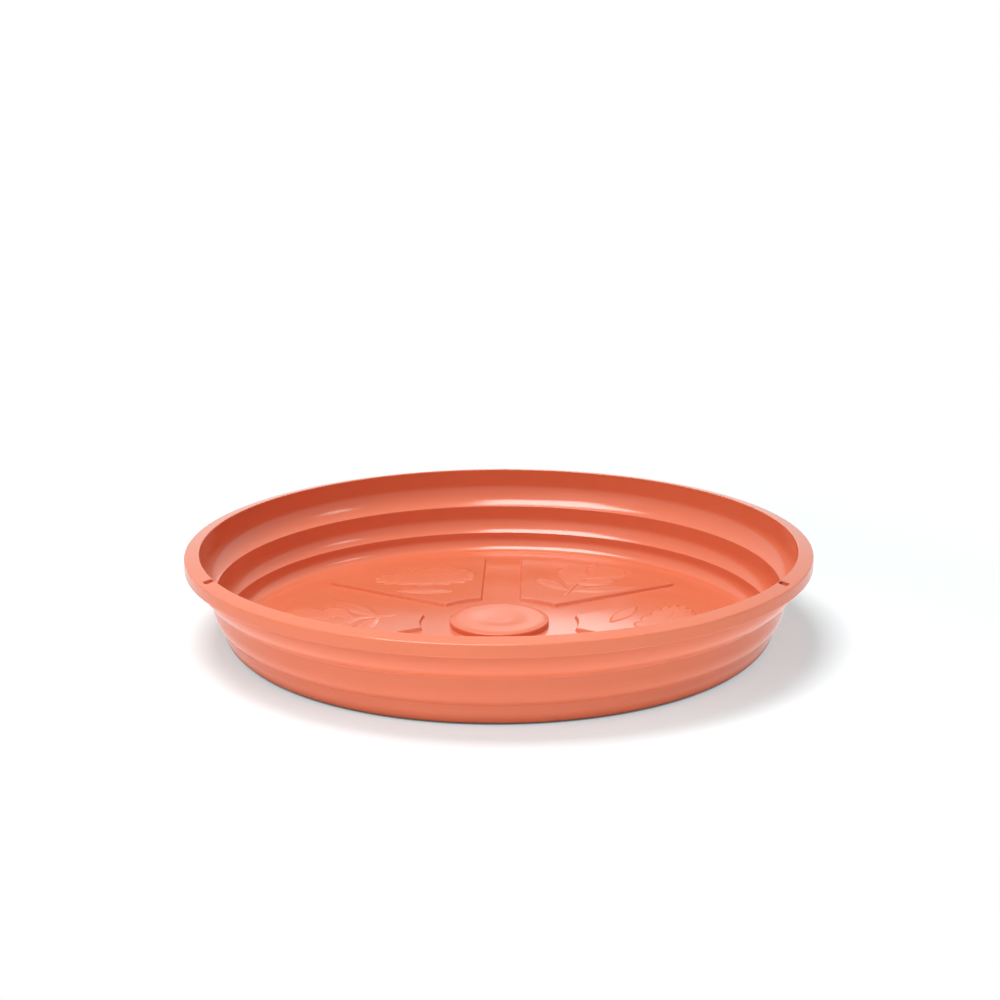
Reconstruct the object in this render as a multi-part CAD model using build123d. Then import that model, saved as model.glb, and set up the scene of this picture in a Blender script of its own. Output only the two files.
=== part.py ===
from build123d import *
import math
import os

# Round plant saucer: one thin moulded skin, written out node by node at its form lines.
# Millimetres, +Z up, origin at the middle of the base, one rim slot on +Y.

# Skin and overall sizes
skin = 1.8                      # wall thickness everywhere
overall_height = 44.8           # base to the inner edge of the rim
draft = 1.5                     # degrees that each upright stretch leans outward

# Rim: a lip that falls outward, and a band that hangs from its outer edge
mouth_radius = 142.8            # inner edge of the lip
lip_width = 7.2                 # inner edge to outer edge
lip_fall = 1.5                  # outer edge below the inner edge
band_height = 5.8               # outer edge of the lip to the foot of the band

# Hanger slots through the lip: one at the back and one towards each side of the front
slot_turn = 118.0               # degrees from the back slot to each of the others
slot_span = 4.2                 # along the rim
slot_depth = 4.2                # across the lip
slot_inset = 0.6                # lip left between the slot and the inner edge
slot_corner_round = 0.6

# Stepped wall: an upright stretch, then a cove that ends at a crisp ledge
upper_wall_height = 6.5
upper_ledge_inset = 7.1         # in from the mouth
upper_ledge_height = 25.4       # above the base
middle_wall_height = 6.0
lower_ledge_inset = 4.6         # in from the upper ledge
lower_ledge_height = 11.4
floor_cove_radius = 7.0
cove_strips = 3                 # straight strips that a cove's curve is divided into

# Floor pads, raised between six channels
pad_count = 6
pad_rise = 1.6                  # pad top above the channel floor
hub_ring_width = 14.0           # between the boss and the pads
outer_ring_width = 14.0         # between the pads and the last cove
channel_width = 18.9
pad_corner_round = 1.4

# Round boss in the middle of the floor
disc_radius = 24.2
disc_rise = 3.5                 # its land above the channel floor
disc_bevel_width = 4.2
disc_bevel_fall = 0.7
dish_radius = 15.3              # inner edge of the land
dish_slope_width = 5.0
dish_depth = 0.7

# Botanical reliefs on the pads; places are across the pad, then out from its inner edge
relief_height = 0.6
relief_pad_depth = 71.8         # depth of the pad that the sizes below are drawn for
leaf_length = 52.0
leaf_width = 32.0
leaf_teeth = 5                  # along each edge
leaf_notch_share = 0.72         # how far the notches reach, beside the teeth
leaf_tooth_lean = 2.0           # tooth tips lie this far towards the leaf's tip
leaf_place = (3.0, 47.8)
leaf_turn = 70.0
lance_length = 28.0
lance_width = 7.5
lance_place = (-7.0, 26.8)
lance_turn = 64.0
petal_count = 3
petal_length = 29.0
petal_width = 17.0
petal_spread = 30.0             # degrees between neighbouring petals
flower_foot = (0.0, 39.8)       # where the petals and the stem meet
flower_turn = 13.0
stem_length = 24.0
stem_width = 2.4
blade_length = 30.0
blade_width = 8.0
blade_turn = 50.0
blade_foot_share = 0.8          # place of the blade's foot along the stem

# Worked-out sizes
rim_radius = mouth_radius + lip_width
band_inner_radius = rim_radius - skin
lip_slope = lip_fall / lip_width
lean = math.radians(draft)
floor_level = skin
pad_top = floor_level + pad_rise
disc_top = floor_level + disc_rise
cut_overrun = skin


def lip_underside(radius):
    """Height of the lip's underside at a radius."""
    return overall_height - skin - (radius - mouth_radius) * lip_slope


def wall_foot(top, height):
    """Foot of an upright stretch that starts at top and leans in as it goes down."""
    return (top[0] - height * math.tan(lean), top[1] - height)


def outside(point):
    """The point one skin outside the upright stretch that passes through point."""
    return (point[0] + skin * math.cos(lean), point[1] - skin * math.sin(lean))


def cove_centre(foot, end):
    """Centre and radius of the arc that leaves a wall's foot in line with it and reaches end."""
    across = foot[0] - end[0]
    down = foot[1] - end[1]
    toward_wall = across * math.cos(lean) - down * math.sin(lean)
    radius = (across ** 2 + down ** 2) / (2 * toward_wall)
    centre = (foot[0] - radius * math.cos(lean), foot[1] + radius * math.sin(lean))
    return centre, radius


def outer_corner(centre, radius, next_top):
    """Where the outside of a cove meets the outside of the next upright stretch."""
    start = outside(next_top)
    reach = radius + skin
    along = (math.sin(lean), math.cos(lean))
    offset = (start[0] - centre[0], start[1] - centre[1])
    half = along[0] * offset[0] + along[1] * offset[1]
    rest = offset[0] ** 2 + offset[1] ** 2 - reach ** 2
    travel = -half - math.sqrt(half ** 2 - rest)
    return (start[0] + travel * along[0], start[1] + travel * along[1])


def cove_points(centre, start, end):
    """Points along the short arc about centre, from start to end, one strip apart."""
    reach = math.hypot(start[0] - centre[0], start[1] - centre[1])
    first = math.atan2(start[1] - centre[1], start[0] - centre[0])
    last = math.atan2(end[1] - centre[1], end[0] - centre[0])
    points = []
    for number in range(1, cove_strips):
        angle = first + (last - first) * number / cove_strips
        points.append((centre[0] + reach * math.cos(angle), centre[1] + reach * math.sin(angle)))
    return [start, *points, end]


def ring(points):
    """Solid of revolution of a closed outline drawn in radius and height."""
    return revolve(Plane.XZ * make_face(Polyline(*points, close=True)), Axis.Z, 360)


# Ledges and coves of the stepped wall, as points in radius and height
upper_top = (mouth_radius, lip_underside(mouth_radius))
upper_foot = wall_foot(upper_top, upper_wall_height)
upper_ledge = (mouth_radius - upper_ledge_inset, upper_ledge_height)
middle_foot = wall_foot(upper_ledge, middle_wall_height)
lower_ledge = (upper_ledge[0] - lower_ledge_inset, lower_ledge_height)
upper_centre, upper_cove_radius = cove_centre(upper_foot, upper_ledge)
middle_centre, middle_cove_radius = cove_centre(middle_foot, lower_ledge)
upper_corner = outer_corner(upper_centre, upper_cove_radius, upper_ledge)
lower_corner = outer_corner(middle_centre, middle_cove_radius, lower_ledge)

# The last cove is tangent to the leaning wall and to the floor
floor_cove_height = floor_level + floor_cove_radius
lower_line_radius = lower_ledge[0] - (lower_ledge_height - floor_cove_height) * math.tan(lean)
floor_cove_centre = (lower_line_radius - floor_cove_radius / math.cos(lean), floor_cove_height)
floor_radius = floor_cove_centre[0]
lower_foot = (
    floor_cove_centre[0] + floor_cove_radius * math.cos(lean),
    floor_cove_centre[1] - floor_cove_radius * math.sin(lean),
)

# Pads, between the boss and the last cove
pad_inner_radius = disc_radius + hub_ring_width
pad_outer_radius = floor_radius - outer_ring_width
relief_scale = (pad_outer_radius - pad_inner_radius) / relief_pad_depth


def tier(top, foot, ledge, centre, outer_top, corner):
    """One step of the wall, from its top edge down to the ledge that ends its cove."""
    inside = cove_points(centre, foot, ledge)
    back = cove_points(centre, corner, outside(foot))
    return ring([top, *inside, *back, outer_top])


def upper_tier():
    """Top step, which carries the lip along its upper edge."""
    outer_start = outside(upper_top)
    drop = lip_underside(outer_start[0]) - outer_start[1]
    rise = drop / (1 + lip_slope * math.tan(lean))
    outer_top = (outer_start[0] + rise * math.tan(lean), outer_start[1] + rise)
    return tier(upper_top, upper_foot, upper_ledge, upper_centre, outer_top, upper_corner)


def middle_tier():
    """Middle step, set in by the width of the upper ledge."""
    return tier(upper_ledge, middle_foot, lower_ledge, middle_centre, upper_corner, lower_corner)


def lower_tier():
    """Bottom step, whose cove runs out into the floor."""
    floor_edge = (floor_radius, floor_level)
    base_edge = (floor_radius, 0)
    inside = cove_points(floor_cove_centre, lower_foot, floor_edge)
    back = cove_points(floor_cove_centre, base_edge, outside(lower_foot))
    return ring([lower_ledge, *inside, *back, lower_corner])


def slot_cutter(angle):
    """Rounded oblong that goes through the lip, square to the rim."""
    outline = RectangleRounded(slot_depth, slot_span, slot_corner_round)
    middle = mouth_radius + slot_inset + slot_depth / 2
    tall = overall_height - lip_underside(rim_radius) + 2 * cut_overrun
    block = extrude(Pos(middle, 0, lip_underside(rim_radius) - cut_overrun) * outline, tall)
    return Rot(0, 0, angle) * block


def rim_lip():
    """Flat lip that falls outward, with its hanger slots."""
    inner_top = (mouth_radius, overall_height)
    outer_top = (rim_radius, overall_height - lip_fall)
    outer_low = (rim_radius, lip_underside(rim_radius))
    lip = ring([inner_top, outer_top, outer_low, upper_top])
    for turn in (-slot_turn, 0, slot_turn):
        lip -= slot_cutter(90 + turn)
    return lip


def rim_band():
    """Plain band that hangs under the outer edge of the lip."""
    foot = overall_height - lip_fall - band_height
    inner_top = (band_inner_radius, lip_underside(band_inner_radius))
    outer_top = (rim_radius, lip_underside(rim_radius))
    return ring([inner_top, outer_top, (rim_radius, foot), (band_inner_radius, foot)])


def pad_outline():
    """Plan of the pad whose middle line is +X: a rounded sector set back from two channels."""
    sector = Circle(pad_outer_radius) - Circle(pad_inner_radius)
    half_turn = 180 / pad_count
    set_back = channel_width / 2
    reach = 2 * pad_outer_radius
    for side in (1, -1):
        keep = Pos(0, -side * (reach / 2 + set_back)) * Rectangle(2 * reach, reach)
        sector &= Rot(0, 0, side * half_turn) * keep
    return fillet(sector.vertices(), pad_corner_round)


def pad_cap():
    """One raised pad, hollowed from below to the skin."""
    outline = pad_outline()
    hollow = offset(outline, -skin)
    return extrude(outline, pad_top) - extrude(hollow, pad_rise)


def floor_plate():
    """Channels, hub and outer ring of the floor: a disc with a window for each raised form."""
    plate = extrude(Circle(floor_radius), floor_level)
    plate -= extrude(Circle(disc_radius), floor_level)
    window = extrude(pad_outline(), floor_level)
    for number in range(pad_count):
        plate -= Rot(0, 0, number * 360 / pad_count) * window
    return plate


def centre_disc():
    """Round boss with a bevelled edge, a flat land, a shallow dish and a hollow underside."""
    hollow_radius = disc_radius - skin
    points = [
        (0, disc_top - dish_depth),
        (dish_radius - dish_slope_width, disc_top - dish_depth),
        (dish_radius, disc_top),
        (disc_radius - disc_bevel_width, disc_top),
        (disc_radius, disc_top - disc_bevel_fall),
        (disc_radius, 0),
        (hollow_radius, 0),
        (hollow_radius, disc_rise),
        (0, disc_rise),
    ]
    return ring(points)


def almond(length, width):
    """Pointed leaf shape between two equal arcs, from the origin along +Y."""
    tip = (0, length)
    left = ThreePointArc((0, 0), (-width / 2, length / 2), tip)
    right = ThreePointArc(tip, (width / 2, length / 2), (0, 0))
    return make_face(Wire([left, right]))


def toothed_leaf():
    """Leaf along +Y whose middle is at the origin, with pointed teeth along both edges."""
    steps = 2 * leaf_teeth
    edge = []
    for step in range(1, steps):
        is_tooth = step % 2
        reach = leaf_width / 2 * math.sin(math.pi * step / steps)
        along = leaf_length * step / steps
        edge.append((reach, along + leaf_tooth_lean) if is_tooth else (reach * leaf_notch_share, along))
    other_edge = [(-reach, along) for reach, along in reversed(edge)]
    outline = Polyline((0, 0), *edge, (0, leaf_length), *other_edge, close=True)
    return Pos(0, -leaf_length / 2) * make_face(outline)


def leaf_motif():
    """Toothed leaf with a lance leaf inside it."""
    lance = Pos(0, -lance_length / 2) * almond(lance_length, lance_width)
    return [
        Pos(*leaf_place) * Rot(0, 0, leaf_turn) * toothed_leaf(),
        Pos(*lance_place) * Rot(0, 0, lance_turn) * lance,
    ]


def flower_motif():
    """Cup of petals on a stem, with one long blade."""
    flower = Pos(0, -stem_length / 2) * Rectangle(stem_width, stem_length)
    for number in range(petal_count):
        turn = (number - (petal_count - 1) / 2) * petal_spread
        flower += Rot(0, 0, turn) * almond(petal_length, petal_width)
    blade_foot = Pos(0, -stem_length * blade_foot_share)
    flower += blade_foot * Rot(0, 0, blade_turn) * almond(blade_length, blade_width)
    return [Pos(*flower_foot) * Rot(0, 0, flower_turn) * flower]


def floor_pad(number):
    """Pad with its relief, turned to its place; leaf and flower pads alternate."""
    motif = flower_motif() if number % 2 else leaf_motif()
    pad = pad_cap()
    for outline in motif:
        placed = Pos(pad_inner_radius, 0, pad_top) * Rot(0, 0, -90) * scale(outline, relief_scale)
        pad += extrude(placed, relief_height)
    return Rot(0, 0, number * 360 / pad_count) * pad


os.makedirs("parts", exist_ok=True)
nodes = {
    "rim_lip": rim_lip(),
    "rim_band": rim_band(),
    "upper_tier": upper_tier(),
    "middle_tier": middle_tier(),
    "lower_tier": lower_tier(),
    "floor_plate": floor_plate(),
    "centre_disc": centre_disc(),
}
for number in range(pad_count):
    nodes[f"floor_pad_{number + 1}"] = floor_pad(number)
for name, shape in nodes.items():
    export_step(shape, f"parts/{name}.step")
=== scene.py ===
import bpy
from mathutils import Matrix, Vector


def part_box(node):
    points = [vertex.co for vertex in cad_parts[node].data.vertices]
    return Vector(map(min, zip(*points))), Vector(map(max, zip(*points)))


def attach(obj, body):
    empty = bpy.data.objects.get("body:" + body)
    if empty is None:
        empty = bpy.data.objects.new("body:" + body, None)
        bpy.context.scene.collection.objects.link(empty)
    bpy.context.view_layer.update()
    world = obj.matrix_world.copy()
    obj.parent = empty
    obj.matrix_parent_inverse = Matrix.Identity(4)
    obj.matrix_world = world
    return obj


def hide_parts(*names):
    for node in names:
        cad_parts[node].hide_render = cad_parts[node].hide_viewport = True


bl_info = {
    "name": "Plant Saucer",
    "version": (1, 0, 0),
    "blender": (4, 5, 0),
    "location": "View3D > Sidebar > Saucer",
    "description": "Builds a moulded plant saucer with a slotted lip, a stepped wall and relief pads",
    "category": "Add Mesh",
}

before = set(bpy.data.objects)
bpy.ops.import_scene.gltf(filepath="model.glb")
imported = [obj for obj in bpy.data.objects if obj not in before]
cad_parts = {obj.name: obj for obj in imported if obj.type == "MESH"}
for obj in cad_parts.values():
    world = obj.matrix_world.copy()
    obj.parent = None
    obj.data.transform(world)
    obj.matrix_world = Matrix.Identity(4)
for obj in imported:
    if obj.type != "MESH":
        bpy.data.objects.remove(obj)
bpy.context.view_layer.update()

import math

import bmesh
import bpy
import numpy as np
from mathutils import Matrix, Vector

MM = 0.001
BODY = "root"
_, LIP_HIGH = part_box("rim_lip")
BAND_LOW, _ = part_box("rim_band")
_, MIDDLE_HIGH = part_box("middle_tier")
_, LOWER_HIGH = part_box("lower_tier")
_, PLATE_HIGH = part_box("floor_plate")
_, DISC_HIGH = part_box("centre_disc")
# The corners of a square about the origin, in order round it.
SQUARE = ((-1, -1), (1, -1), (1, 1), (-1, 1))


def length(name, description, default):
    """A size in metres that a user may change."""
    return bpy.props.FloatProperty(
        name=name, description=description, default=default, unit="LENGTH", precision=5
    )


def mm(name, description, default):
    """A size that a user may change, with its default in millimetres."""
    return length(name, description, default * MM)


def angle(name, description, degrees):
    """An angle that a user may change."""
    return bpy.props.FloatProperty(
        name=name, description=description, default=math.radians(degrees), subtype="ANGLE"
    )


def share(name, description, default):
    """A plain number that a user may change."""
    return bpy.props.FloatProperty(name=name, description=description, default=default)


def count(name, description, default):
    """A whole number that a user may change."""
    return bpy.props.IntProperty(name=name, description=description, default=default, min=1)


def colour(name, description, default):
    """A colour that a user may change."""
    return bpy.props.FloatVectorProperty(
        name=name, description=description, default=default, size=3, subtype="COLOR", min=0, max=1
    )


class SaucerShell(bpy.types.PropertyGroup):
    """Sizes of the lip, the band and the stepped wall"""

    segments: count("Segments", "Facets round each ring", 360)
    skin: length("Skin", "Wall thickness", PLATE_HIGH.z)
    draft: angle("Draft", "Outward lean of each upright stretch", 1.5)
    rim_radius: length("Rim radius", "Outer edge of the lip", LIP_HIGH.x)
    rim_height: length("Rim height", "Base to the inner edge of the lip", LIP_HIGH.z)
    lip_width: mm("Lip width", "Inner edge to outer edge", 7.2)
    lip_fall: mm("Lip fall", "Outer edge below the inner edge", 1.5)
    lip_inner_round: mm("Lip inner round", "Round of the mouth's edge", 0.5)
    lip_outer_round: mm("Lip outer round", "Round of the outer edge", 0.8)
    band_foot: length("Band foot", "Height of the band's lower edge", BAND_LOW.z)
    band_round: mm("Band round", "Round of the band's lower edge", 0.5)
    upper_wall: mm("Upper wall", "Upright stretch under the lip", 6.5)
    upper_ledge_inset: mm("Upper ledge inset", "In from the mouth", 7.1)
    upper_ledge_height: length("Upper ledge height", "Above the base", MIDDLE_HIGH.z)
    middle_wall: mm("Middle wall", "Upright stretch under the upper ledge", 6.0)
    lower_ledge_inset: mm("Lower ledge inset", "In from the upper ledge", 4.6)
    lower_ledge_height: length("Lower ledge height", "Above the base", LOWER_HIGH.z)
    ledge_round: mm("Ledge round", "Round of each ledge's edge", 0.4)
    corner_round: mm("Corner round", "Round where the outside of a step meets the next", 1.0)
    floor_cove: mm("Floor cove", "Radius of the cove at the floor", 7.0)
    floor_radius: length("Floor radius", "Flat part of the floor", PLATE_HIGH.x)
    seam_inset: mm("Seam inset", "Flat floor that belongs to the lowest step", 0.6)
    slot_spread: angle("Slot spread", "Turn from the back slot to each front slot", 118)
    slot_span: mm("Slot span", "Slot along the rim", 4.2)
    slot_depth: mm("Slot depth", "Slot across the lip", 4.2)
    slot_inset: mm("Slot inset", "Lip left inside the slot", 0.6)
    slot_round: mm("Slot corner round", "Round of the slot's corners", 0.6)


class SaucerFloor(bpy.types.PropertyGroup):
    """Sizes of the boss and the pads"""

    disc_radius: length("Boss radius", "Outer edge of the boss", DISC_HIGH.x)
    disc_top: length("Boss top", "Height of the boss's land", DISC_HIGH.z)
    disc_shoulder_width: mm("Boss shoulder width", "Gentle slope outside the land", 4.2)
    disc_shoulder_fall: mm("Boss shoulder fall", "Drop of the gentle slope", 0.7)
    disc_edge: mm("Boss edge round", "Round of the boss's upper edge", 0.6)
    dish_radius: mm("Dish radius", "Inner edge of the land", 15.3)
    dish_depth: mm("Dish depth", "Depth of the dish", 0.7)
    dish_slope: mm("Dish slope", "Width of the dish's sloping side", 10.0)
    gate_radius: mm("Gate mark radius", "Small moulding mark in the middle", 1.6)
    gate_height: mm("Gate mark height", "Rise of the moulding mark", 0.12)
    pad_count: count("Pads", "Raised pads round the boss", 6)
    pad_rise: mm("Pad rise", "Pad top above the channel", 1.6)
    hub_ring: mm("Hub ring", "Floor between the boss and the pads", 14.0)
    outer_ring: mm("Outer ring", "Floor between the pads and the last cove", 14.0)
    channel: mm("Channel", "Width of a channel", 18.9)
    pad_corner: mm("Pad corner round", "Round of a pad's corners", 1.4)
    pad_edge: mm("Pad edge round", "Round of a pad's upper edge", 0.25)
    pad_lean: mm("Pad lean", "Inward lean of a pad's side over its height", 0.7)
    pad_across: count("Pad facets across", "Facets across a pad", 208)
    pad_along: count("Pad facets along", "Facets from the inner to the outer edge", 150)


class SaucerRelief(bpy.types.PropertyGroup):
    """Sizes of the moulded plants on the pads"""

    height: mm("Height", "Relief above the pad", 0.6)
    edge: mm("Edge", "Width of a relief's sloping edge", 0.8)
    swell: mm("Swell", "Width over which a relief swells to its crown", 4.0)
    crease: mm("Crease", "Width of the creases in leaves and petals", 0.7)
    leaf_length: mm("Leaf length", "Longest way across the lobed leaf", 54)
    leaf_width: mm("Leaf width", "Shortest way across the lobed leaf", 29)
    leaf_taper: share("Leaf taper", "How much narrower the leaf's far end is", 0.3)
    leaf_lobes: count("Leaf lobes", "Rounded lobes round the leaf", 15)
    leaf_notch: share("Leaf notch", "Depth of the notches between the lobes", 0.13)
    leaf_turn: angle("Leaf turn", "Turn of the leaf on its pad", 73.5)
    lance_length: mm("Lance length", "Length of the narrow leaf", 29.5)
    lance_width: mm("Lance width", "Width of the narrow leaf", 8.7)
    lance_turn: angle("Lance turn", "Turn of the narrow leaf on its pad", 60.5)
    petal_length: mm("Petal length", "Foot to edge of the longest petal", 35)
    petal_width: mm("Petal width", "Width of the widest petal", 25)
    petal_wave: share("Petal wave", "Waviness of a petal's edge", 0.04)
    stem_length: mm("Stem length", "Length of the flower's stem", 20)
    stem_width: mm("Stem width", "Width of the flower's stem", 2.6)
    stem_turn: angle("Stem turn", "Lean of the stem on its pad", 14)
    blade_length: mm("Blade length", "Length of the flower's narrow leaf", 31)
    blade_width: mm("Blade width", "Width of the flower's narrow leaf", 9)
    blade_turn: angle("Blade turn", "Turn of the narrow leaf on its pad", 68.5)
    broad_length: mm("Broad leaf length", "Length of the flower's broad leaf", 37)
    broad_width: mm("Broad leaf width", "Width of the flower's broad leaf", 12)
    broad_turn: angle("Broad leaf turn", "Turn of the broad leaf on its pad", -46.5)


class SaucerFinish(bpy.types.PropertyGroup):
    """Colour and gloss of the moulded plastic"""

    base: colour("Plastic", "Terracotta of the plastic", (0.75, 0.19, 0.09))
    deep: colour("Deep tone", "Tone of the slightly deeper patches", (0.73, 0.175, 0.08))
    tint_size: mm("Tint size", "Size of the slow changes of tone", 55)
    roughness: share("Roughness", "Gloss of the polished skin", 0.17)
    roughness_range: share("Roughness range", "How much the gloss drifts", 0.06)
    relief_roughness: share("Relief roughness", "Duller finish of the reliefs", 0.33)
    wave_size: mm("Wave size", "Spacing of the skin's slow waves", 16)
    wave_height: mm("Wave height", "Height of the skin's slow waves", 0.012)
    grain_size: mm("Grain size", "Spacing of the fine mould grain", 0.7)
    grain_height: mm("Grain height", "Height of the fine mould grain", 0.0012)


class SaucerStage(bpy.types.PropertyGroup):
    """Camera, lamps and floor"""

    lens: share("Lens", "Focal length in mm on a 36 mm wide sensor", 65.05)
    distance: mm("Distance", "Camera to the middle of the mouth", 872.4)
    elevation: angle("Elevation", "Camera above the mouth's plane", 15.92)
    azimuth: angle("Azimuth", "Camera to the right of -Y", 1.44)
    pan: angle("Pan", "Turn of the view to the side of the mouth's middle", -0.041)
    tilt: angle("Tilt", "Turn of the view above the mouth's middle", 1.249)
    roll: angle("Roll", "Turn of the view about its own axis", -0.26)
    ambient: colour("Ambient", "Light from all round", (0.01, 0.01, 0.01))
    floor_glow: colour("Floor glow", "Cool glow that keeps the floor white", (0.37, 0.46, 0.475))
    floor_tone: share("Floor tone", "Part of the floor's light that shows the shadow", 0.6)
    # The floor's dark contact line is painted shade: a dark matt tone blended in, by closeness, where the
    # saucer stands on the floor.
    contact: mm("Contact", "Reach of the dark line under the saucer's edge", 0.8)
    painted_shade_tone: share("Contact tone", "Floor tone in the dark line", 0.1)
    floor_bounce: share("Floor bounce", "Light that the floor gives back to the saucer", 0.85)
    floor_fill: share("Floor fill", "Glow of the floor by the saucer, unseen itself", 0.52)
    floor_far_fill: share("Far floor fill", "Glow of the floor further out, unseen itself", 0.75)
    fill_start: mm("Fill start", "Radius where the floor's glow starts to grow", 130)
    fill_reach: mm("Fill reach", "Radius where the floor's glow is full", 260)
    shelter: mm("Shelter", "Reach of the saucer's shade on the glow", 8)
    shadow_reach: mm("Shadow reach", "Radius within which the floor shows the shadow", 260)


def arc(centre, first, last, steps):
    """Points of the short arc about centre, from first to last, both included."""
    start = first - centre
    turn = start.angle_signed(last - centre)
    return [centre + Matrix.Rotation(-turn * step / steps, 2) @ start for step in range(steps + 1)]


def bend(first, middle, last, steps):
    """Points of the curve from first to last that bends towards middle."""
    parts = [number / steps for number in range(steps + 1)]
    return [first.lerp(middle, part).lerp(middle.lerp(last, part), part) for part in parts]


def rounded(corners, steps=7):
    """Closed outline through corners given as x, y and radius, each radius drawn as an arc."""
    points = [Vector(corner[:2]) for corner in corners]
    path = []
    for number, point in enumerate(points):
        radius = corners[number][2]
        if not radius:
            path.append(point)
            continue
        before = (points[number - 1] - point).normalized()
        after = (points[(number + 1) % len(points)] - point).normalized()
        half = before.angle(after) / 2
        reach = radius / math.tan(half)
        centre = point + (before + after).normalized() * (radius / math.sin(half))
        path += arc(centre, point + before * reach, point + after * reach, steps)
    return path


def supported(path, edge=0.07 * MM, shortest=0.7 * MM):
    """Outline with a point close to both ends of its long runs, so that its rounds shade cleanly."""
    result = []
    for here, there in zip(path, path[1:] + path[:1]):
        result.append(here)
        run = there - here
        if run.length > shortest:
            step = run.normalized() * edge
            result += [here + step, there - step]
    return result


def join_loops(bm, first, second):
    """Faces between two loops of vertices, either of which may be a single vertex."""
    size = max(len(first), len(second))
    for here in range(size):
        there = (here + 1) % size
        corners = [first[here % len(first)], first[there % len(first)]]
        corners += [second[there % len(second)], second[here % len(second)]]
        bm.faces.new(tuple(dict.fromkeys(corners)))


def linked(name, data):
    """Object in the scene that holds the data."""
    made = bpy.data.objects.new(name, data)
    bpy.context.scene.collection.objects.link(made)
    return made


def object_from(bm, name):
    """Object in the scene that is made from a finished mesh."""
    bmesh.ops.recalc_face_normals(bm, faces=bm.faces)
    mesh = bpy.data.meshes.new(name)
    bm.to_mesh(mesh)
    bm.free()
    return linked(name, mesh)


def shade(piece, crease=math.radians(32)):
    """Shade a piece smooth, with creases where it turns sharply."""
    piece.data.shade_smooth()
    piece.data.set_sharp_from_angle(angle=crease)


def piece_from(bm, name, node, material):
    """Smooth-shaded piece with crisp edges, which stands for its node."""
    piece = object_from(bm, name)
    shade(piece)
    piece.data.materials.append(material)
    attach(piece, BODY)
    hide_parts(node)
    return piece


def circle(radius, segments):
    """Points of a circle about the origin."""
    turns = [2 * math.pi * number / segments for number in range(segments)]
    return [Vector((radius * math.cos(turn), radius * math.sin(turn))) for turn in turns]


def revolved(path, segments):
    """Mesh made by turning an outline of radius and height about +Z; it may touch the axis."""
    bm = bmesh.new()
    loops = []
    for radius, height in path:
        ring = circle(radius, segments) if radius else [Vector((0, 0))]
        loops.append([bm.verts.new((*point, height)) for point in ring])
    for first, second in zip(loops, loops[1:] + loops[:1]):
        if len(first) + len(second) > 2:
            join_loops(bm, first, second)
    return bm


class WallShape:
    """Outline points of the stepped wall, as radius and height, worked out from the sizes."""

    cove_steps = 22
    corner_steps = 14
    nose_steps = 6
    nose_share = 0.6
    seam_drop = 0.4 * MM

    def __init__(self, shell):
        self.shell = shell
        self.along = Vector((math.sin(shell.draft), math.cos(shell.draft)))
        self.outward = Vector((math.cos(shell.draft), -math.sin(shell.draft)))
        mouth = shell.rim_radius - shell.lip_width
        self.top = Vector((mouth, shell.rim_height - shell.skin))
        upper_ledge = Vector((mouth - shell.upper_ledge_inset, shell.upper_ledge_height))
        lower_ledge = Vector((upper_ledge.x - shell.lower_ledge_inset, shell.lower_ledge_height))
        self.upper_cove = self.cove(self.top, shell.upper_wall, upper_ledge)
        self.lower_cove = self.cove(upper_ledge, shell.middle_wall, lower_ledge)
        self.upper_corner = self.soft_corner(self.upper_cove)
        self.lower_corner = self.soft_corner(self.lower_cove)
        self.floor_centre = Vector((shell.floor_radius, shell.skin + shell.floor_cove))
        self.lower_foot = self.floor_centre + self.outward * shell.floor_cove

    def cove(self, top, wall, ledge):
        """Centre of the arc that leaves the wall in line and reaches the ledge, with both its ends."""
        foot = top - self.along * (wall / self.along.y)
        chord = foot - ledge
        radius = chord.length_squared / (2 * chord.dot(self.outward))
        return foot - self.outward * radius, foot, ledge

    def soft_corner(self, cove):
        """Round between the outsides of a cove and of the wall below it, from the wall up."""
        centre, _, next_top = cove
        skin, size = self.shell.skin, self.shell.corner_round
        start = next_top + self.outward * (skin + size)
        offset = start - centre
        reach = (next_top - centre).length + skin
        half = self.along.dot(offset)
        travel = -half - math.sqrt(half ** 2 - offset.length_squared + (reach + size) ** 2)
        middle = start + self.along * travel
        on_wall = middle - self.outward * size
        on_cove = centre + (middle - centre).normalized() * reach
        return arc(middle, on_wall, on_cove, self.corner_steps)

    def step(self, top, cove, outer_top, corner):
        """Outline of one step, from its top edge to the edge of the ledge below."""
        centre, foot, _ = cove
        inside = arc(centre, foot, self.nose(cove)[0], self.cove_steps)
        back = arc(centre, corner[-1], foot + self.outward * self.shell.skin, self.cove_steps)
        return [top, *inside, self.seam(corner), *corner[:-1], *back, outer_top]

    def seam(self, corner):
        """Place on the wall, just below a rounded corner, where two steps meet."""
        return corner[0] - self.along * self.seam_drop

    def nose(self, cove):
        """Rounded edge of a ledge, from the cove above it to the wall below it."""
        ledge = cove[-1]
        before = arc(*cove, self.cove_steps)[-2]
        reach = self.shell.ledge_round * self.nose_share
        first = ledge + (before - ledge).normalized() * reach
        return bend(first, ledge, ledge - self.along * reach, self.nose_steps)


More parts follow.
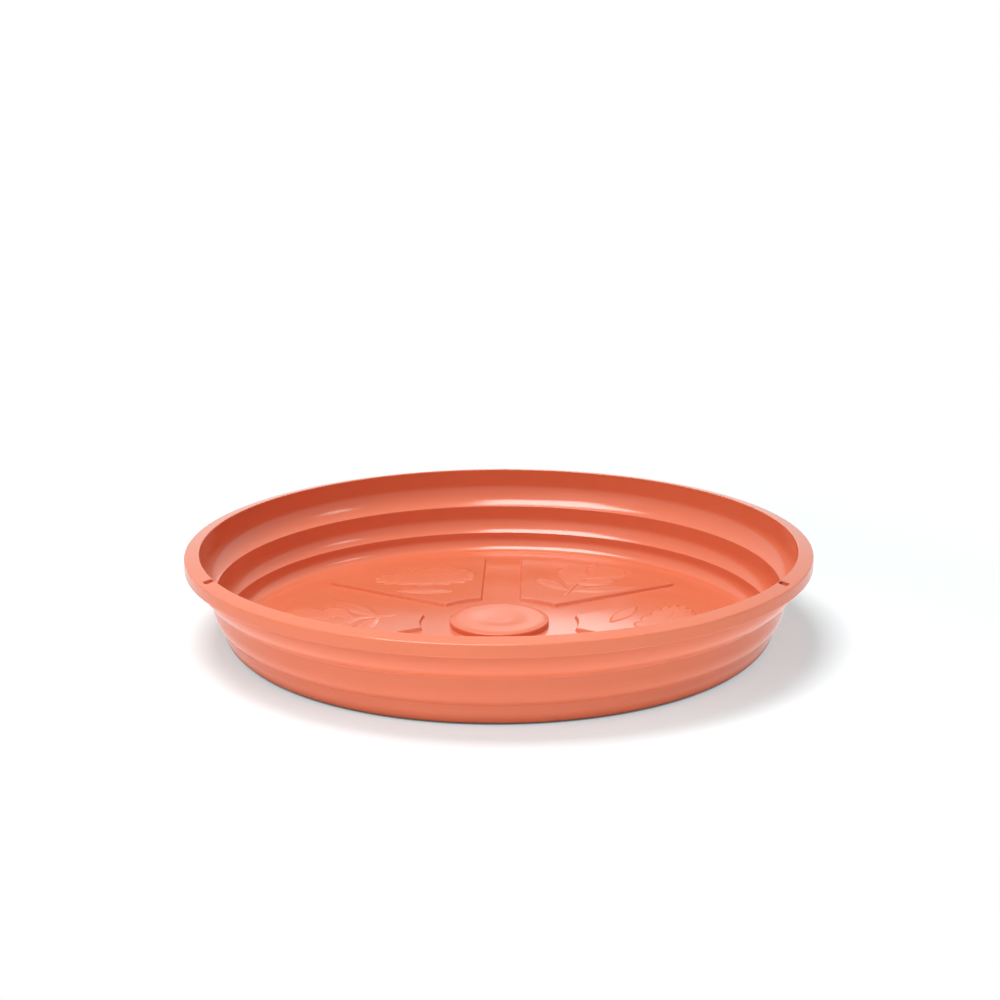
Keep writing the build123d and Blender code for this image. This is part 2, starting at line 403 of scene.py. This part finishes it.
class SAUCER_OT_rim(bpy.types.Operator):
    """Build the slotted lip and the band that hangs from it"""

    bl_idname = "saucer.rim"
    bl_label = "Rim"

    def execute(self, context):
        shell = context.scene.saucer_shell
        material = plastic(context.scene)
        self.lip(shell, material)
        self.band(shell, material)
        return {"FINISHED"}

    def under(self, shell, radius):
        """Height of the lip's underside at a radius."""
        fall = (radius - shell.rim_radius + shell.lip_width) * shell.lip_fall / shell.lip_width
        return shell.rim_height - shell.skin - fall

    def lip(self, shell, material):
        """Flat lip that falls outward, cut through by the hanger slots."""
        mouth = shell.rim_radius - shell.lip_width
        corners = [
            (mouth, self.under(shell, mouth), 0),
            (mouth, shell.rim_height, shell.lip_inner_round),
            (shell.rim_radius, shell.rim_height - shell.lip_fall, shell.lip_outer_round),
            (shell.rim_radius, self.under(shell, shell.rim_radius), 0),
        ]
        bm = revolved(supported(rounded(corners)), shell.segments)
        lip = piece_from(bm, "slotted_lip", "rim_lip", material)
        cutter = self.slot_cutters(shell)
        cut = lip.modifiers.new("slots", "BOOLEAN")
        cut.object = cutter
        cut.operation = "DIFFERENCE"
        cut.solver = "EXACT"
        bpy.context.view_layer.update()
        cut_lip = lip.evaluated_get(bpy.context.evaluated_depsgraph_get())
        lip.data = bpy.data.meshes.new_from_object(cut_lip)
        lip.modifiers.clear()
        bpy.data.objects.remove(cutter, do_unlink=True)
        shade(lip)

    def slot_cutters(self, shell, corner_steps=6):
        """Rounded blocks that stand where the slots go through the lip."""
        depth, span = shell.slot_depth / 2, shell.slot_span / 2
        corners = [(across * depth, along * span, shell.slot_round) for across, along in SQUARE]
        outline = rounded(corners, corner_steps)
        middle = shell.rim_radius - shell.lip_width + shell.slot_inset + depth
        low = self.under(shell, shell.rim_radius) - shell.skin
        high = shell.rim_height + shell.skin
        bm = bmesh.new()
        for number in (-1, 0, 1):
            turn = Matrix.Rotation(math.pi / 2 + number * shell.slot_spread, 3, "Z")
            ends = [
                [bm.verts.new(turn @ Vector((middle + x, y, height))) for x, y in outline]
                for height in (low, high)
            ]
            join_loops(bm, *ends)
            for end in ends:
                bm.faces.new(end)
        return object_from(bm, "slot_cutters")

    def band(self, shell, material):
        """Band that hangs from the outer edge of the lip."""
        inner = shell.rim_radius - shell.skin
        corners = [
            (inner, self.under(shell, inner), 0),
            (shell.rim_radius, self.under(shell, shell.rim_radius), 0),
            (shell.rim_radius, shell.band_foot, shell.band_round),
            (inner, shell.band_foot, shell.band_round),
        ]
        bm = revolved(supported(rounded(corners)), shell.segments)
        piece_from(bm, "hanging_band", "rim_band", material)


class SAUCER_OT_wall(bpy.types.Operator):
    """Build the three steps of the wall with their coves and ledges"""

    bl_idname = "saucer.wall"
    bl_label = "Stepped wall"

    def execute(self, context):
        shell = context.scene.saucer_shell
        shape = WallShape(shell)
        material = plastic(context.scene)
        drop = shell.skin * (math.sin(shell.draft) - shell.lip_fall / shell.lip_width)
        outer_top = shape.top + shape.outward * shell.skin + shape.along * drop
        upper_nose, lower_nose = shape.nose(shape.upper_cove), shape.nose(shape.lower_cove)
        upper = shape.step(shape.top, shape.upper_cove, outer_top, shape.upper_corner)
        below = shape.seam(shape.upper_corner)
        middle = shape.step(upper_nose[-1], shape.lower_cove, below, shape.lower_corner)
        inner = shell.floor_radius - shell.seam_inset
        floor_edge = Vector((shell.floor_radius, shell.skin))
        base_edge = Vector((shell.floor_radius, 0))
        lower_back = shape.lower_foot + shape.outward * shell.skin
        lower = [
            *lower_nose,
            *arc(shape.floor_centre, shape.lower_foot, floor_edge, shape.cove_steps),
            Vector((inner, shell.skin)),
            Vector((inner, 0)),
            *arc(shape.floor_centre, base_edge, lower_back, shape.cove_steps),
            shape.seam(shape.lower_corner),
        ]
        outlines = {"upper": upper, "middle": upper_nose[:-1] + middle, "lower": lower}
        for name, outline in outlines.items():
            bm = revolved(supported(outline, shortest=0.9 * MM), shell.segments)
            piece_from(bm, f"{name}_step", f"{name}_tier", material)
        return {"FINISHED"}


class PadShape:
    """Outlines of the pad whose middle line is +X, and the grid over its top."""

    corner_steps = 5
    least_round = 0.2 * MM

    def __init__(self, shell, floor):
        self.floor = floor
        self.inner = floor.disc_radius + floor.hub_ring
        self.outer = shell.floor_radius - floor.outer_ring
        self.half_turn = math.pi / floor.pad_count

    def corner(self, inset, side, out):
        """Arc of one corner, from the pad's straight side to its inner or outer circle."""
        radius = (self.outer if out > 0 else self.inner) - out * inset
        set_back = self.floor.channel / 2 + inset
        round_radius = max(self.floor.pad_corner - inset, self.least_round)
        across = set_back + round_radius
        along = math.sqrt((radius - out * round_radius) ** 2 - across ** 2)
        turn = Matrix.Rotation(side * self.half_turn, 2)
        centre = turn @ Vector((along, -side * across))
        on_side = turn @ Vector((along, -side * set_back))
        return arc(centre, on_side, centre.normalized() * radius, 2 * self.corner_steps)

    def outline(self, inset):
        """Closed outline with a set number of points, whose sides match the grid's."""
        steps = self.corner_steps
        corners = [self.corner(inset, side, out) for side, out in SQUARE]
        points = []
        for number, first in enumerate(corners):
            last = corners[(number + 1) % len(corners)]
            if number % 2:
                facets = self.floor.pad_along - 2 * steps
                straight = [first[0].lerp(last[0], part / facets) for part in range(facets + 1)]
                points += first[steps:0:-1] + straight + last[1:steps]
            else:
                curve = arc(Vector((0, 0)), first[-1], last[-1], self.floor.pad_across - 2 * steps)
                points += first[steps:-1] + curve + last[-2:steps:-1]
        return points

    def grid(self, border):
        """Points over the pad, blended from its border: an array of across x along x 2."""
        across, along = self.floor.pad_across, self.floor.pad_along
        points = np.array([tuple(point) for point in border])
        inner_side = points[:across + 1]
        high_side = points[across:across + along + 1]
        outer_side = points[across + along:2 * across + along + 1][::-1]
        low_side = np.vstack([points[2 * across + along:], points[:1]])[::-1]
        s = np.linspace(0, 1, across + 1)[:, None, None]
        t = np.linspace(0, 1, along + 1)[None, :, None]
        ruled = (1 - t) * inner_side[:, None] + t * outer_side[:, None]
        cross = (1 - s) * low_side[None] + s * high_side[None]
        ends = (1 - t) * ((1 - s) * inner_side[0] + s * inner_side[-1])
        ends = ends + t * ((1 - s) * outer_side[0] + s * outer_side[-1])
        return ruled + cross - ends


def almond(size, width, steps=36):
    """Pointed leaf shape along +Y from the origin."""
    edge = [(width / 2 * math.sin(math.pi * step / steps), size * step / steps) for step in range(1, steps)]
    return np.array([(0, 0), *edge, (0, size), *[(-x, y) for x, y in reversed(edge)]])


def lobed(relief, steps=12, lobe_power=0.7, end_power=0.8):
    """Egg-shaped leaf about the origin, narrower towards +Y, with rounded lobes all round."""
    turns = np.linspace(0, 2 * math.pi, relief.leaf_lobes * steps, endpoint=False)
    lobes = np.abs(np.sin(turns * relief.leaf_lobes / 2)) ** lobe_power
    reach = 1 - relief.leaf_notch * (1 - lobes)
    across = np.sign(np.sin(turns)) * np.abs(np.sin(turns)) ** end_power
    breadth = relief.leaf_width / 2 * reach * (1 - relief.leaf_taper * np.cos(turns))
    return np.column_stack([breadth * across, relief.leaf_length / 2 * reach * np.cos(turns)])


def petal_outline(size, width, wave, waves=5, steps=96, fullness=0.72, spread=1.18):
    """Broad petal along +Y, narrow at its foot in the origin, with a wavy far edge."""
    turns = np.linspace(-math.pi, math.pi, steps, endpoint=False)
    ripple = 1 + wave * np.cos(waves * turns) * (1 + np.cos(turns)) / 2
    breadth = width / 2 * np.sin(turns) * (fullness + (1 - fullness) * np.cos(turns))
    return np.column_stack([breadth * spread * ripple, size * (1 + np.cos(turns) * ripple) / 2])


def heading(turn):
    """Unit step along a plant part that is turned from straight out."""
    return np.array((-math.sin(turn), math.cos(turn)))


def placed(outline, foot, turn):
    """Outline turned about its origin and moved to its foot."""
    cosine, sine = math.cos(turn), math.sin(turn)
    return outline @ np.array([(cosine, sine), (-sine, cosine)]) + foot


def distance_to(points, first, last):
    """Distance of each point from the line between two places."""
    run = last - first
    offset = points - first
    part = np.clip(offset @ run / (run @ run), 0, 1)
    return np.hypot(*(offset - part[:, None] * run).T)


def depth_inside(points, outline):
    """Distance of each point from the edge of a closed outline that it lies in, or zero."""
    x, y = points.T
    nearest = np.full(len(points), np.inf)
    inside = np.zeros(len(points), dtype=bool)
    for first, last in zip(outline, np.roll(outline, -1, axis=0)):
        nearest = np.minimum(nearest, distance_to(points, first, last))
        crosses = (first[1] > y) != (last[1] > y)
        if first[1] != last[1]:
            meeting = first[0] + (y - first[1]) * (last[0] - first[0]) / (last[1] - first[1])
            inside ^= crosses & (x < meeting)
    return np.where(inside, nearest, 0)


# Places on a pad in mm: across it, and out from its inner edge.
LEAF_MIDDLE = (0.5, 44.5)
LANCE_MIDDLE = (-10.3, 23.0)
STEM_JOINT = (3.0, 33.0)
LEAF_FOOT = (6.3, 21.5)
# The curl is a crease between the two front petals.
CURL = ((-9.0, 65.0), (-4.5, 61.5), (-3.0, 57.0), (-0.5, 54.0), (1.5, 50.2), (-1.0, 46.6))
# Each petal: the place of its foot, its lean in degrees, and its length, width and rise as shares.
PETALS = (
    ((3.0, 31.0), 27.0, 1.0, 0.8, 0.9),
    ((1.0, 44.0), -24.0, 0.76, 1.0, 1.0),
    ((2.0, 35.0), -52.0, 0.62, 0.62, 0.75),
    ((-2.0, 42.0), 8.0, 0.78, 0.55, 0.8),
)


class ReliefShape:
    """Height of the moulded plants over a pad, at places across it and out from its inner edge."""

    shoulder_share = 0.6
    stem_rise = 0.85
    blade_rise = 0.9
    broad_rise = 0.6
    midrib_reach = 0.6
    midrib_depth = 0.18
    curl_depth = 0.5
    vein_reach = 0.9
    vein_depth = 0.25

    def __init__(self, relief):
        self.relief = relief

    def pillow(self, points, outline, rise=1.0):
        """Soft raised form: a quick shoulder at its edge and a slow swell to its crown."""
        depth = depth_inside(points, outline)
        shoulder = np.sin(np.clip(depth / self.relief.edge, 0, 1) * math.pi / 2)
        crown = np.sin(np.clip(depth / self.relief.swell, 0, 1) * math.pi / 2)
        swell = self.shoulder_share * shoulder + (1 - self.shoulder_share) * crown
        return rise * self.relief.height * swell

    def creased(self, height, points, first, last, depth):
        """Height with a soft crease pressed in along a line."""
        distance = distance_to(points, first, last)
        return height * (1 - depth * np.exp(-(distance / self.relief.crease) ** 2))

    def leaves(self, points):
        """Lobed leaf with a faint midrib, and a narrow leaf inside it."""
        relief = self.relief
        middle = np.array(LEAF_MIDDLE) * MM
        spine = heading(relief.leaf_turn) * relief.leaf_length / 2 * self.midrib_reach
        height = self.pillow(points, placed(lobed(relief), middle, relief.leaf_turn))
        height = self.creased(height, points, middle - spine, middle + spine, self.midrib_depth)
        lance_foot = np.array(LANCE_MIDDLE) * MM - heading(relief.lance_turn) * relief.lance_length / 2
        lance = placed(almond(relief.lance_length, relief.lance_width), lance_foot, relief.lance_turn)
        return np.maximum(height, self.pillow(points, lance))

    def flower(self, points):
        """Open flower on a stem, with a curled heart, a narrow leaf and a broad leaf."""
        relief = self.relief
        height = np.zeros(len(points))
        for foot, lean, size, width, rise in PETALS:
            petal = petal_outline(relief.petal_length * size, relief.petal_width * width, relief.petal_wave)
            petal = placed(petal, np.array(foot) * MM, math.radians(lean))
            height = np.maximum(height, self.pillow(points, petal, rise))
        curl = np.array(CURL) * MM
        for first, last in zip(curl, curl[1:]):
            height = self.creased(height, points, first, last, self.curl_depth)
        joint = np.array(STEM_JOINT) * MM
        stem_end = joint - heading(relief.stem_turn) * relief.stem_length
        across = 2 * distance_to(points, joint, stem_end) / relief.stem_width
        stem = relief.height * self.stem_rise * np.sqrt(np.clip(1 - across ** 2, 0, 1))
        parts = [height, stem]
        foot = np.array(LEAF_FOOT) * MM
        for size, width, turn, rise in (
            (relief.blade_length, relief.blade_width, relief.blade_turn, self.blade_rise),
            (relief.broad_length, relief.broad_width, relief.broad_turn, self.broad_rise),
        ):
            leaf = self.pillow(points, placed(almond(size, width), foot, turn), rise)
            tip = foot + heading(turn) * size * self.vein_reach
            parts.append(self.creased(leaf, points, foot, tip, self.vein_depth))
        return np.maximum.reduce(parts)


class SAUCER_OT_floor(bpy.types.Operator):
    """Build the floor plate with its channels, and the boss in its middle"""

    bl_idname = "saucer.floor"
    bl_label = "Floor and boss"

    mark_share = 0.4
    mark_steps = 6
    dish_steps = 12
    shoulder_steps = 10
    edge_steps = 5
    long_run = 0.8 * MM

    def execute(self, context):
        shell = context.scene.saucer_shell
        floor = context.scene.saucer_floor
        material = plastic(context.scene)
        self.plate(shell, floor, material)
        self.boss(shell, floor, plastic(context.scene, reliefs=True))
        return {"FINISHED"}

    def plate(self, shell, floor, material):
        """Flat plate with a window for each pad and for the boss."""
        radii = (shell.floor_radius - shell.seam_inset, floor.disc_radius)
        loops = [circle(radius, shell.segments) for radius in radii]
        window = PadShape(shell, floor).outline(0)
        for number in range(floor.pad_count):
            turn = Matrix.Rotation(2 * math.pi * number / floor.pad_count, 2)
            loops.append([turn @ point for point in window])
        bm = bmesh.new()
        edges = {0: [], shell.skin: []}
        for loop in loops:
            ends = []
            for height in edges:
                ring = [bm.verts.new((*point, height)) for point in loop]
                edges[height] += [bm.edges.new(pair) for pair in zip(ring, ring[1:] + ring[:1])]
                ends.append(ring)
            join_loops(bm, *ends)
        for level in edges.values():
            bmesh.ops.triangle_fill(bm, edges=level, use_beauty=True)
        piece_from(bm, "channelled_floor", "floor_plate", material)

    def boss(self, shell, floor, material):
        """Boss with a rounded edge, a flat land, a shallow dish and a hollow underside."""
        top, radius, edge = floor.disc_top, floor.disc_radius, floor.disc_edge
        bottom = top - floor.dish_depth
        mark = bottom + floor.gate_height
        gate, dish = floor.gate_radius, floor.dish_radius
        path = [Vector((0, mark))]
        path += self.ease(gate * self.mark_share, gate, mark, -floor.gate_height, self.mark_steps)
        path += self.ease(dish - floor.dish_slope, dish, bottom, floor.dish_depth, self.dish_steps)
        land = Vector((radius - floor.disc_shoulder_width, top))
        brow = Vector((radius - edge, top - floor.disc_shoulder_fall))
        shoulder = bend(land, Vector(((land.x + brow.x) / 2, top)), brow, self.shoulder_steps)
        side = Vector((radius, brow.y - edge))
        path += shoulder + arc(Vector((brow.x, side.y)), brow, side, self.edge_steps)[1:]
        hollow, ceiling = radius - shell.skin, top - shell.skin
        path += [Vector(corner) for corner in ((radius, 0), (hollow, 0), (hollow, ceiling), (0, ceiling))]
        path = supported(path, shortest=self.long_run)[:-2]  # without the two new points on the axis
        bm = revolved(path, shell.segments)
        piece_from(bm, "dished_boss", "centre_disc", material)

    def ease(self, first, last, height, change, steps):
        """Points of a soft change of height between two radii."""
        parts = [number / steps for number in range(steps + 1)]
        radii = [first + (last - first) * part for part in parts]
        heights = [height + change * part * part * (3 - 2 * part) for part in parts]
        return [Vector(point) for point in zip(radii, heights)]


class SAUCER_OT_pads(bpy.types.Operator):
    """Build the six raised pads, on which the leaf and flower reliefs alternate"""

    bl_idname = "saucer.pads"
    bl_label = "Relief pads"

    brow_steps = 6
    foot_share = 0.93

    def execute(self, context):
        scene = context.scene
        shell, floor = scene.saucer_shell, scene.saucer_floor
        shape = PadShape(shell, floor)
        relief = ReliefShape(scene.saucer_relief)
        material = plastic(scene, reliefs=True)
        border = shape.outline(floor.pad_edge + floor.pad_lean)
        grid = shape.grid(border)
        flat = grid.reshape(-1, 2)
        on_pad = np.column_stack([-flat[:, 1], flat[:, 0] - shape.inner])
        heights = [form(on_pad).reshape(grid.shape[:2]) for form in (relief.leaves, relief.flower)]
        for number in range(floor.pad_count):
            bm = self.pad(shell, floor, shape, grid, heights[number % 2])
            turn = Matrix.Rotation(2 * math.pi * number / floor.pad_count, 3, "Z")
            bmesh.ops.rotate(bm, verts=bm.verts, cent=(0, 0, 0), matrix=turn)
            piece_from(bm, f"relief_pad_{number + 1}", f"floor_pad_{number + 1}", material)
        return {"FINISHED"}

    def pad(self, shell, floor, shape, grid, heights):
        """One pad: leaning sides, grid of its top with the relief, and hollow underside."""
        top = shell.skin + floor.pad_rise
        bm = bmesh.new()
        rows = [
            [bm.verts.new((*point, top + height)) for point, height in zip(*row)]
            for row in zip(grid, heights)
        ]
        for row, following in zip(rows, rows[1:]):
            for number in range(len(row) - 1):
                bm.faces.new((row[number], following[number], following[number + 1], row[number + 1]))
        border = [row[0] for row in rows[:-1]] + rows[-1][:-1]
        border += [row[-1] for row in rows[:0:-1]] + rows[0][:0:-1]
        brow = Vector((floor.pad_lean, top))
        foot = Vector((0, shell.skin))
        first = brow + Vector((floor.pad_edge, 0))
        last = brow.lerp(foot, floor.pad_edge / floor.pad_rise)
        levels = bend(first, brow, last, self.brow_steps)[1:]
        levels += [last.lerp(foot, self.foot_share), foot]
        levels += [(0, 0), (shell.skin, 0), (shell.skin, floor.pad_rise)]
        before = border
        for inset, height in levels:
            loop = [bm.verts.new((*point, height)) for point in shape.outline(inset)]
            join_loops(bm, before, loop)
            before = loop
        bm.faces.new(before)
        return bm


class Value:
    """A socket of a shader that takes part in sums like a number."""

    def __init__(self, shader, socket):
        self.shader = shader
        self.socket = socket

    def math(self, operation, first, second):
        return self.shader.node("ShaderNodeMath", {"operation": operation}, {0: first, 1: second})

    def __add__(self, other):
        return self.math("ADD", self, other)

    def __sub__(self, other):
        return self.math("SUBTRACT", self, other)

    def __rsub__(self, other):
        return self.math("SUBTRACT", other, self)

    def __mul__(self, other):
        return self.math("MULTIPLY", self, other)

    __radd__ = __add__
    __rmul__ = __mul__


class Shader:
    """A node tree that is written as expressions."""

    def __init__(self, owner):
        owner.use_nodes = True
        self.tree = owner.node_tree
        self.tree.nodes.clear()

    def node(self, kind, settings, values, output=0):
        """One node with its settings made first, then its values and links."""
        made = self.tree.nodes.new(kind)
        for name, setting in settings.items():
            setattr(made, name, setting)
        for name, value in values.items():
            if isinstance(value, Value):
                self.tree.links.new(value.socket, made.inputs[name])
            else:
                made.inputs[name].default_value = value
        return Value(self, made.outputs[output]) if made.outputs else made

    def ramp(self, value, low, high):
        """Soft change from zero, where a value is low, to one."""
        limits = {"Value": value, "From Min": low, "From Max": high}
        return self.node("ShaderNodeMapRange", {"interpolation_type": "SMOOTHSTEP"}, limits)

    def openness(self, reach):
        """One in the open, and less where something stands within reach."""
        return self.node("ShaderNodeAmbientOcclusion", {}, {"Distance": reach}, "AO")

    def mix(self, factor, first, second):
        """Blend of two colours."""
        return self.node("ShaderNodeMix", {"data_type": "RGBA"}, {0: factor, 6: first, 7: second}, 2)

    def dull(self, tone):
        """Matt grey surface."""
        return self.node("ShaderNodeBsdfDiffuse", {}, {"Color": (tone, tone, tone, 1)})

    def glow(self, tint):
        """Surface that gives light of a colour, in which 1 is white."""
        brightest = max(tint)
        hue = [part / brightest for part in tint]
        return self.node("ShaderNodeEmission", {}, {"Color": (*hue, 1), "Strength": brightest})

    def join(self, first, second):
        """Sum of two surfaces."""
        return self.node("ShaderNodeAddShader", {}, {0: first, 1: second})

    def blend(self, factor, first, second):
        """Blend of two surfaces."""
        return self.node("ShaderNodeMixShader", {}, {0: factor, 1: first, 2: second})

    def ray(self, kind):
        """One for rays of a kind, and zero for the others."""
        return self.node("ShaderNodeLightPath", {}, {}, f"Is {kind} Ray")

    def mirrored(self):
        """One for what gloss or glass shows, and zero for the light on the saucer."""
        return self.ray("Glossy") + self.ray("Transmission")

    def noise(self, where, size, detail=2.0):
        """Noise whose patches are about the given size."""
        return self.node("ShaderNodeTexNoise", {}, {"Vector": where, "Scale": 1 / size, "Detail": detail})


CLOUD_SHARE = 0.3  # share of the small clouds in the tone
CLOUDS_IN_DRIFT = 6  # how many times smaller the clouds are
GRAIN_DULLING = 0.04  # how much the grain changes the roughness
RELIEF_FOOT = 0.4  # share of a relief's height where its duller finish starts
RELIEF_FADE = 0.4  # share of its height over which that finish comes in


def plastic(scene, reliefs=False):
    """Glossy terracotta plastic, made once and shared; duller over the reliefs and the boss."""
    name = "terracotta_relief_plastic" if reliefs else "glossy_terracotta_plastic"
    if name in bpy.data.materials:
        return bpy.data.materials[name]
    finish = scene.saucer_finish
    material = bpy.data.materials.new(name)
    shader = Shader(material)
    where = shader.node("ShaderNodeTexCoord", {}, {}, "Object")
    drift = shader.noise(where, finish.tint_size)
    cloud = shader.noise(where, finish.tint_size / CLOUDS_IN_DRIFT)
    wave = shader.noise(where, finish.wave_size, detail=1.0)
    grain = shader.noise(where, finish.grain_size)
    patches = drift * (1 - CLOUD_SHARE) + cloud * CLOUD_SHARE
    tone = shader.mix(patches, (*finish.base, 1), (*finish.deep, 1))
    roughness = finish.roughness + (drift - 0.5) * finish.roughness_range + (grain - 0.5) * GRAIN_DULLING
    if reliefs:
        above = shader.node("ShaderNodeSeparateXYZ", {}, {0: where}, "Z")
        relief_height = scene.saucer_relief.height
        low = scene.saucer_shell.skin + scene.saucer_floor.pad_rise + RELIEF_FOOT * relief_height
        raised = shader.ramp(above, low, low + RELIEF_FADE * relief_height)
        roughness = roughness + raised * (finish.relief_roughness - finish.roughness)
    height = wave * finish.wave_height + grain * finish.grain_height
    normal = shader.node("ShaderNodeBump", {}, {"Strength": 1.0, "Distance": 1.0, "Height": height})
    values = {
        "Base Color": tone,
        "Roughness": roughness,
        "Normal": normal,
        "IOR": 1.49,
        "Subsurface Weight": 0.06,
        "Subsurface Radius": (1.0, 0.35, 0.15),
        "Subsurface Scale": 1.5 * MM,
    }
    surface = shader.node("ShaderNodeBsdfPrincipled", {}, values)
    shader.node("ShaderNodeOutputMaterial", {}, {"Surface": surface})
    return material


# A lamp nearer to the saucer's middle than this, in metres, doesn't show in its gloss.
SAUCER_SPACE = 0.5
# Each lamp: its azimuth and elevation in degrees, its distance, its width and its height in metres,
# and its power in watts.
LAMPS = {
    "overhead": (180, 79, 1.6, 0.8, 0.8, 25.0),
    "front_left": (225, 45, 1.6, 1.1, 1.1, 2.0),
    "right": (0, 44, 1.6, 0.3, 0.3, 1.5),
    "back_strip": (87.6, 30, 1.6, 0.22, 0.8, 0.95),
    "near_front": (262, 36, 0.38, 0.6, 0.1, 0.45),
}


def toward(azimuth, elevation):
    """Unit step from the saucer in a direction, with the azimuth from +X."""
    level = math.cos(elevation)
    return Vector((math.cos(azimuth) * level, math.sin(azimuth) * level, math.sin(elevation)))


class SAUCER_OT_stage(bpy.types.Operator):
    """Set up the floor, the lamps and the camera"""

    bl_idname = "saucer.stage"
    bl_label = "Stage"

    floor_half = 4.0
    shadow_fade = 0.3
    white = (1, 1, 1)

    def execute(self, context):
        scene = context.scene
        stage = scene.saucer_stage
        scene.view_settings.view_transform = "Standard"
        self.floor(stage)
        self.world(scene, stage)
        self.lamps()
        self.camera(scene, stage)
        return {"FINISHED"}

    def floor(self, stage):
        """Pale floor that looks white to the camera and keeps the saucer's shadow, with a painted shade
        line where the saucer stands on it.
        """
        mesh = bpy.data.meshes.new("floor")
        corners = [(x * self.floor_half, y * self.floor_half, 0) for x, y in SQUARE]
        mesh.from_pydata(corners, [], [range(len(corners))])
        floor = linked("floor", mesh)
        material = bpy.data.materials.new("pale_floor")
        shader = Shader(material)
        where = shader.node("ShaderNodeTexCoord", {}, {}, "Object")
        radius = shader.node("ShaderNodeVectorMath", {"operation": "LENGTH"}, {0: where}, "Value")
        reach, fade = stage.shadow_reach, self.shadow_fade * stage.shadow_reach
        away = shader.ramp(radius, reach - fade, reach + fade)
        # Painted shade: a dark matt tone that stands in for the contact shadow where the saucer is close.
        contact = shader.dull(stage.painted_shade_tone)
        lit = shader.join(shader.dull(stage.floor_tone), shader.glow(stage.floor_glow))
        near = shader.blend(shader.openness(stage.contact), contact, lit)
        pictured = shader.blend(away, near, shader.glow(self.white))
        # Closeness to the saucer dims the floor's glow on the saucer, and paints shade into what gloss
        # shows of the floor.
        open_floor = shader.openness(stage.shelter)
        open_floor = open_floor * open_floor
        further = shader.ramp(radius, stage.fill_start, stage.fill_reach)
        fills = [shader.glow((fill,) * 3) for fill in (stage.floor_fill, stage.floor_far_fill)]
        bounce = shader.dull(stage.floor_bounce)
        real = shader.blend(open_floor, bounce, shader.join(bounce, shader.blend(further, *fills)))
        # What gloss shows of the floor: white, with painted shade near the saucer.
        shown = shader.blend(open_floor, contact, shader.glow(self.white))
        surface = shader.blend(shader.mirrored(), real, shown)
        surface = shader.blend(shader.ray("Camera"), surface, pictured)
        shader.node("ShaderNodeOutputMaterial", {}, {"Surface": surface})
        mesh.materials.append(material)

    def world(self, scene, stage):
        """Faint light from all round, and white where the camera or gloss sees past the floor."""
        world = bpy.data.worlds.new("studio")
        scene.world = world
        shader = Shader(world)
        seen = shader.ray("Camera") + shader.mirrored()
        tints = (stage.ambient, self.white)
        lights = [shader.node("ShaderNodeBackground", {}, {"Color": (*tint, 1)}) for tint in tints]
        shader.node("ShaderNodeOutputWorld", {}, {"Surface": shader.blend(seen, *lights)})

    def lamps(self):
        """Unseen soft boxes that face the saucer, with the strongest overhead."""
        for name, (azimuth, elevation, distance, width, height, power) in LAMPS.items():
            lamp = bpy.data.lights.new(name, "AREA")
            lamp.shape = "RECTANGLE"
            lamp.size, lamp.size_y = width, height
            lamp.energy = power
            holder = linked(name, lamp)
            direction = toward(math.radians(azimuth), math.radians(elevation))
            holder.location = direction * distance
            holder.rotation_euler = (-direction).to_track_quat("-Z", "Y").to_euler()
            holder.visible_camera = False
            holder.visible_glossy = distance > SAUCER_SPACE

    def camera(self, scene, stage):
        """Camera at the photograph's place, turned a little away from the mouth's middle."""
        mouth = Vector((0, 0, scene.saucer_shell.rim_height))
        direction = toward(stage.azimuth - math.pi / 2, stage.elevation)
        data = bpy.data.cameras.new("camera")
        data.sensor_width = 36.0
        data.lens = stage.lens
        camera = linked("camera", data)
        turn = (-direction).to_track_quat("-Z", "Y").to_matrix()
        for angle_off, axis in ((stage.roll, "Z"), (stage.tilt, "X"), (stage.pan, "Y")):
            turn = turn @ Matrix.Rotation(angle_off, 3, axis)
        camera.matrix_world = Matrix.Translation(mouth + direction * stage.distance) @ turn.to_4x4()
        scene.camera = camera


BUILDERS = (SAUCER_OT_rim, SAUCER_OT_wall, SAUCER_OT_floor, SAUCER_OT_pads, SAUCER_OT_stage)


class SAUCER_PT_panel(bpy.types.Panel):
    """Sidebar panel that lists the builders and the sizes"""

    bl_idname = "SAUCER_PT_panel"
    bl_label = "Plant Saucer"
    bl_space_type = "VIEW_3D"
    bl_region_type = "UI"
    bl_category = "Saucer"

    def draw(self, context):
        for builder in BUILDERS:
            self.layout.operator(builder.bl_idname)
        for group, sizes in GROUPS.items():
            box = self.layout.box()
            for name in sizes.__annotations__:
                box.prop(getattr(context.scene, group), name)


GROUPS = {
    "saucer_shell": SaucerShell,
    "saucer_floor": SaucerFloor,
    "saucer_relief": SaucerRelief,
    "saucer_finish": SaucerFinish,
    "saucer_stage": SaucerStage,
}


def register():
    for item in (*GROUPS.values(), *BUILDERS, SAUCER_PT_panel):
        bpy.utils.register_class(item)
    for name, group in GROUPS.items():
        setattr(bpy.types.Scene, name, bpy.props.PointerProperty(type=group))


def unregister():
    for name in GROUPS:
        delattr(bpy.types.Scene, name)
    for item in reversed((*GROUPS.values(), *BUILDERS, SAUCER_PT_panel)):
        bpy.utils.unregister_class(item)


def main():
    register()
    bpy.ops.saucer.rim()
    bpy.ops.saucer.wall()
    bpy.ops.saucer.floor()
    bpy.ops.saucer.pads()
    bpy.ops.saucer.stage()


if __name__ == "__main__":
    main()
